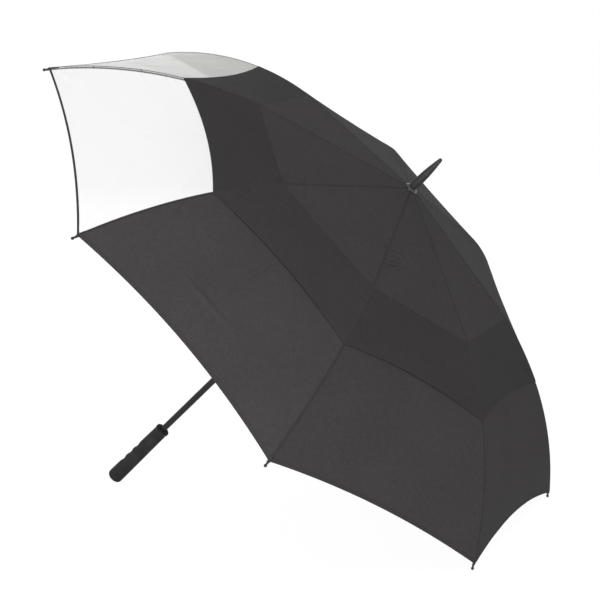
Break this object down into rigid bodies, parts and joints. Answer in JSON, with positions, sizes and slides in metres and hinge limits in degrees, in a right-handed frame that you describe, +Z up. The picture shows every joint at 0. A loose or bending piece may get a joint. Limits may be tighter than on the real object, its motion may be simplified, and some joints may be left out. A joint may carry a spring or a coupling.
{
  "type": "golf umbrella",
  "caption": "Large straight umbrella with a vented double canopy, two clear panels, folding ribs with stretchers, a sliding runner and a straight foam grip.",
  "frame": {"origin": "centre of the footprint on the floor that the open umbrella rests on, with the butt of its grip and two rib tips touching it", "axes": "+Z up, +Y across the umbrella along its widest line, +X the way the shaft leans from the grip up to the ferrule"},
  "size_m": [0.8638, 1.2112, 0.8637],
  "materials": {
    "canopy_cloth": "matte woven pongee, charcoal black",
    "window_film": "clear soft film, slightly milky",
    "rib_fibreglass": "satin black resin",
    "moulded_plastic": "satin moulded black",
    "shaft_coat": "satin black coat",
    "grip_foam": "fine matte foam",
    "steel": "bright spring steel",
    "chrome": "bright plated"
  },
  "bodies": {
    "shaft_body": {"shaft": "shaft_coat", "grip": "grip_foam", "grip_end_cap": "moulded_plastic", "top_notch": "moulded_plastic", "crown_wire": "steel", "crown_pin": "steel", "crown_cap": "chrome", "ferrule": "moulded_plastic", "stop_pin": "steel"},
    "runner_body": {"runner": "moulded_plastic"},
    "open_catch_body": {"open_catch": "steel"},
    "closed_catch_body": {"closed_catch": "steel"},
    "inner_rib_body_1": {"inner_rib_1": "rib_fibreglass", "upper_panel_1": "canopy_cloth"},
    "outer_rib_body_1": {"outer_rib_1": "rib_fibreglass", "rib_tip_1": "moulded_plastic", "window_panel_1": "window_film"},
    "stretcher_body_1": {"stretcher_1": "rib_fibreglass"},
    "inner_rib_body_2": {"inner_rib_2": "rib_fibreglass", "upper_panel_2": "canopy_cloth"},
    "outer_rib_body_2": {"outer_rib_2": "rib_fibreglass", "rib_tip_2": "moulded_plastic", "lower_panel_2": "canopy_cloth"},
    "stretcher_body_2": {"stretcher_2": "rib_fibreglass"},
    "inner_rib_body_3": {"inner_rib_3": "rib_fibreglass", "upper_panel_3": "canopy_cloth"},
    "outer_rib_body_3": {"outer_rib_3": "rib_fibreglass", "rib_tip_3": "moulded_plastic", "lower_panel_3": "canopy_cloth"},
    "stretcher_body_3": {"stretcher_3": "rib_fibreglass"},
    "inner_rib_body_4": {"inner_rib_4": "rib_fibreglass", "upper_panel_4": "canopy_cloth"},
    "outer_rib_body_4": {"outer_rib_4": "rib_fibreglass", "rib_tip_4": "moulded_plastic", "lower_panel_4": "canopy_cloth"},
    "stretcher_body_4": {"stretcher_4": "rib_fibreglass"},
    "inner_rib_body_5": {"inner_rib_5": "rib_fibreglass", "upper_panel_5": "canopy_cloth"},
    "outer_rib_body_5": {"outer_rib_5": "rib_fibreglass", "rib_tip_5": "moulded_plastic", "lower_panel_5": "canopy_cloth"},
    "stretcher_body_5": {"stretcher_5": "rib_fibreglass"},
    "inner_rib_body_6": {"inner_rib_6": "rib_fibreglass", "upper_panel_6": "canopy_cloth"},
    "outer_rib_body_6": {"outer_rib_6": "rib_fibreglass", "rib_tip_6": "moulded_plastic", "lower_panel_6": "canopy_cloth"},
    "stretcher_body_6": {"stretcher_6": "rib_fibreglass"},
    "inner_rib_body_7": {"inner_rib_7": "rib_fibreglass", "upper_panel_7": "canopy_cloth"},
    "outer_rib_body_7": {"outer_rib_7": "rib_fibreglass", "rib_tip_7": "moulded_plastic", "lower_panel_7": "canopy_cloth"},
    "stretcher_body_7": {"stretcher_7": "rib_fibreglass"},
    "inner_rib_body_8": {"inner_rib_8": "rib_fibreglass", "upper_panel_8": "canopy_cloth"},
    "outer_rib_body_8": {"outer_rib_8": "rib_fibreglass", "rib_tip_8": "moulded_plastic", "window_panel_8": "window_film"},
    "stretcher_body_8": {"stretcher_8": "rib_fibreglass"}
  },
  "joints": [
    {"name": "runner_slide", "type": "slide", "parent": "shaft_body", "child": "runner_body", "axis": [0.7071, 0, 0.7071], "range_m": [-0.41547, 0], "deforming": ["upper_panel_1", "upper_panel_2", "upper_panel_3", "upper_panel_4", "upper_panel_5", "upper_panel_6", "upper_panel_7", "upper_panel_8", "window_panel_1", "lower_panel_2", "lower_panel_3", "lower_panel_4", "lower_panel_5", "lower_panel_6", "lower_panel_7", "window_panel_8"]},
    {"name": "open_catch_press", "type": "hinge", "parent": "shaft_body", "child": "open_catch_body", "pos_m": [-0.00246, 0, 0.42943], "axis": [0.7071, 0, -0.7071], "range_deg": [0, 9], "stiffness_Nm_per_rad": 0.3, "springref_deg": -2.86},
    {"name": "closed_catch_press", "type": "hinge", "parent": "shaft_body", "child": "closed_catch_body", "pos_m": [-0.26612, 0, 0.16576], "axis": [-0.7071, 0, 0.7071], "range_deg": [0, 9], "stiffness_Nm_per_rad": 0.3, "springref_deg": -2.86},
    {"name": "rib_1_fold", "type": "hinge", "parent": "shaft_body", "child": "inner_rib_body_1", "pos_m": [0.1958, -0.00421, 0.64208], "axis": [0.2706, -0.9239, -0.2706], "range_deg": [0, 75.82]},
    {"name": "rib_1_flex", "type": "hinge", "parent": "inner_rib_body_1", "child": "outer_rib_body_1", "pos_m": [-0.05121, -0.12056, 0.7923], "axis": [0.2706, -0.9239, -0.2706], "range_deg": [-20.39, 0]},
    {"name": "stretcher_1_turn", "type": "hinge", "parent": "inner_rib_body_1", "child": "stretcher_body_1", "pos_m": [-0.05503, -0.11997, 0.78647], "axis": [0.2706, -0.9239, -0.2706], "range_deg": [-137.86, 0]},
    {"name": "rib_2_fold", "type": "hinge", "parent": "shaft_body", "child": "inner_rib_body_2", "pos_m": [0.20001, -0.01016, 0.63787], "axis": [0.6533, -0.3827, -0.6533], "range_deg": [0, 75.82]},
    {"name": "rib_2_flex", "type": "hinge", "parent": "inner_rib_body_2", "child": "outer_rib_body_2", "pos_m": [0.06935, -0.29105, 0.67175], "axis": [0.6533, -0.3827, -0.6533], "range_deg": [-20.39, 0]},
    {"name": "stretcher_2_turn", "type": "hinge", "parent": "inner_rib_body_2", "child": "stretcher_body_2", "pos_m": [0.06494, -0.28963, 0.6665], "axis": [0.6533, -0.3827, -0.6533], "range_deg": [-137.86, 0]},
    {"name": "rib_3_fold", "type": "hinge", "parent": "shaft_body", "child": "inner_rib_body_3", "pos_m": [0.20597, -0.01016, 0.63191], "axis": [0.6533, 0.3827, -0.6533], "range_deg": [0, 75.82]},
    {"name": "rib_3_flex", "type": "hinge", "parent": "inner_rib_body_3", "child": "outer_rib_body_3", "pos_m": [0.23985, -0.29105, 0.50126], "axis": [0.6533, 0.3827, -0.6533], "range_deg": [-20.39, 0]},
    {"name": "stretcher_3_turn", "type": "hinge", "parent": "inner_rib_body_3", "child": "stretcher_body_3", "pos_m": [0.23461, -0.28963, 0.49684], "axis": [0.6533, 0.3827, -0.6533], "range_deg": [-137.86, 0]},
    {"name": "rib_4_fold", "type": "hinge", "parent": "shaft_body", "child": "inner_rib_body_4", "pos_m": [0.21018, -0.00421, 0.6277], "axis": [0.2706, 0.9239, -0.2706], "range_deg": [0, 75.82]},
    {"name": "rib_4_flex", "type": "hinge", "parent": "inner_rib_body_4", "child": "outer_rib_body_4", "pos_m": [0.36041, -0.12056, 0.3807], "axis": [0.2706, 0.9239, -0.2706], "range_deg": [-20.39, 0]},
    {"name": "stretcher_4_turn", "type": "hinge", "parent": "inner_rib_body_4", "child": "stretcher_body_4", "pos_m": [0.35458, -0.11997, 0.37688], "axis": [0.2706, 0.9239, -0.2706], "range_deg": [-137.86, 0]},
    {"name": "rib_5_fold", "type": "hinge", "parent": "shaft_body", "child": "inner_rib_body_5", "pos_m": [0.21018, 0.00421, 0.6277], "axis": [-0.2706, 0.9239, 0.2706], "range_deg": [0, 75.82]},
    {"name": "rib_5_flex", "type": "hinge", "parent": "inner_rib_body_5", "child": "outer_rib_body_5", "pos_m": [0.36041, 0.12056, 0.3807], "axis": [-0.2706, 0.9239, 0.2706], "range_deg": [-20.39, 0]},
    {"name": "stretcher_5_turn", "type": "hinge", "parent": "inner_rib_body_5", "child": "stretcher_body_5", "pos_m": [0.35458, 0.11997, 0.37688], "axis": [-0.2706, 0.9239, 0.2706], "range_deg": [-137.86, 0]},
    {"name": "rib_6_fold", "type": "hinge", "parent": "shaft_body", "child": "inner_rib_body_6", "pos_m": [0.20597, 0.01016, 0.63191], "axis": [-0.6533, 0.3827, 0.6533], "range_deg": [0, 75.82]},
    {"name": "rib_6_flex", "type": "hinge", "parent": "inner_rib_body_6", "child": "outer_rib_body_6", "pos_m": [0.23985, 0.29105, 0.50126], "axis": [-0.6533, 0.3827, 0.6533], "range_deg": [-20.39, 0]},
    {"name": "stretcher_6_turn", "type": "hinge", "parent": "inner_rib_body_6", "child": "stretcher_body_6", "pos_m": [0.23461, 0.28963, 0.49684], "axis": [-0.6533, 0.3827, 0.6533], "range_deg": [-137.86, 0]},
    {"name": "rib_7_fold", "type": "hinge", "parent": "shaft_body", "child": "inner_rib_body_7", "pos_m": [0.20001, 0.01016, 0.63787], "axis": [-0.6533, -0.3827, 0.6533], "range_deg": [0, 75.82]},
    {"name": "rib_7_flex", "type": "hinge", "parent": "inner_rib_body_7", "child": "outer_rib_body_7", "pos_m": [0.06935, 0.29105, 0.67175], "axis": [-0.6533, -0.3827, 0.6533], "range_deg": [-20.39, 0]},
    {"name": "stretcher_7_turn", "type": "hinge", "parent": "inner_rib_body_7", "child": "stretcher_body_7", "pos_m": [0.06494, 0.28963, 0.6665], "axis": [-0.6533, -0.3827, 0.6533], "range_deg": [-137.86, 0]},
    {"name": "rib_8_fold", "type": "hinge", "parent": "shaft_body", "child": "inner_rib_body_8", "pos_m": [0.1958, 0.00421, 0.64208], "axis": [-0.2706, -0.9239, 0.2706], "range_deg": [0, 75.82]},
    {"name": "rib_8_flex", "type": "hinge", "parent": "inner_rib_body_8", "child": "outer_rib_body_8", "pos_m": [-0.05121, 0.12056, 0.7923], "axis": [-0.2706, -0.9239, 0.2706], "range_deg": [-20.39, 0]},
    {"name": "stretcher_8_turn", "type": "hinge", "parent": "inner_rib_body_8", "child": "stretcher_body_8", "pos_m": [-0.05503, 0.11997, 0.78647], "axis": [-0.2706, -0.9239, 0.2706], "range_deg": [-137.86, 0]}
  ],
  "couplings": [
    {"joint": "rib_1_fold", "follows": "runner_slide", "rad_per_m": -3.1849},
    {"joint": "rib_1_flex", "follows": "runner_slide", "rad_per_m": 0.85656},
    {"joint": "stretcher_1_turn", "follows": "runner_slide", "rad_per_m": 5.7914},
    {"joint": "rib_2_fold", "follows": "runner_slide", "rad_per_m": -3.1849},
    {"joint": "rib_2_flex", "follows": "runner_slide", "rad_per_m": 0.85656},
    {"joint": "stretcher_2_turn", "follows": "runner_slide", "rad_per_m": 5.7914},
    {"joint": "rib_3_fold", "follows": "runner_slide", "rad_per_m": -3.1849},
    {"joint": "rib_3_flex", "follows": "runner_slide", "rad_per_m": 0.85656},
    {"joint": "stretcher_3_turn", "follows": "runner_slide", "rad_per_m": 5.7914},
    {"joint": "rib_4_fold", "follows": "runner_slide", "rad_per_m": -3.1849},
    {"joint": "rib_4_flex", "follows": "runner_slide", "rad_per_m": 0.85656},
    {"joint": "stretcher_4_turn", "follows": "runner_slide", "rad_per_m": 5.7914},
    {"joint": "rib_5_fold", "follows": "runner_slide", "rad_per_m": -3.1849},
    {"joint": "rib_5_flex", "follows": "runner_slide", "rad_per_m": 0.85656},
    {"joint": "stretcher_5_turn", "follows": "runner_slide", "rad_per_m": 5.7914},
    {"joint": "rib_6_fold", "follows": "runner_slide", "rad_per_m": -3.1849},
    {"joint": "rib_6_flex", "follows": "runner_slide", "rad_per_m": 0.85656},
    {"joint": "stretcher_6_turn", "follows": "runner_slide", "rad_per_m": 5.7914},
    {"joint": "rib_7_fold", "follows": "runner_slide", "rad_per_m": -3.1849},
    {"joint": "rib_7_flex", "follows": "runner_slide", "rad_per_m": 0.85656},
    {"joint": "stretcher_7_turn", "follows": "runner_slide", "rad_per_m": 5.7914},
    {"joint": "rib_8_fold", "follows": "runner_slide", "rad_per_m": -3.1849},
    {"joint": "rib_8_flex", "follows": "runner_slide", "rad_per_m": 0.85656},
    {"joint": "stretcher_8_turn", "follows": "runner_slide", "rad_per_m": 5.7914}
  ]
}
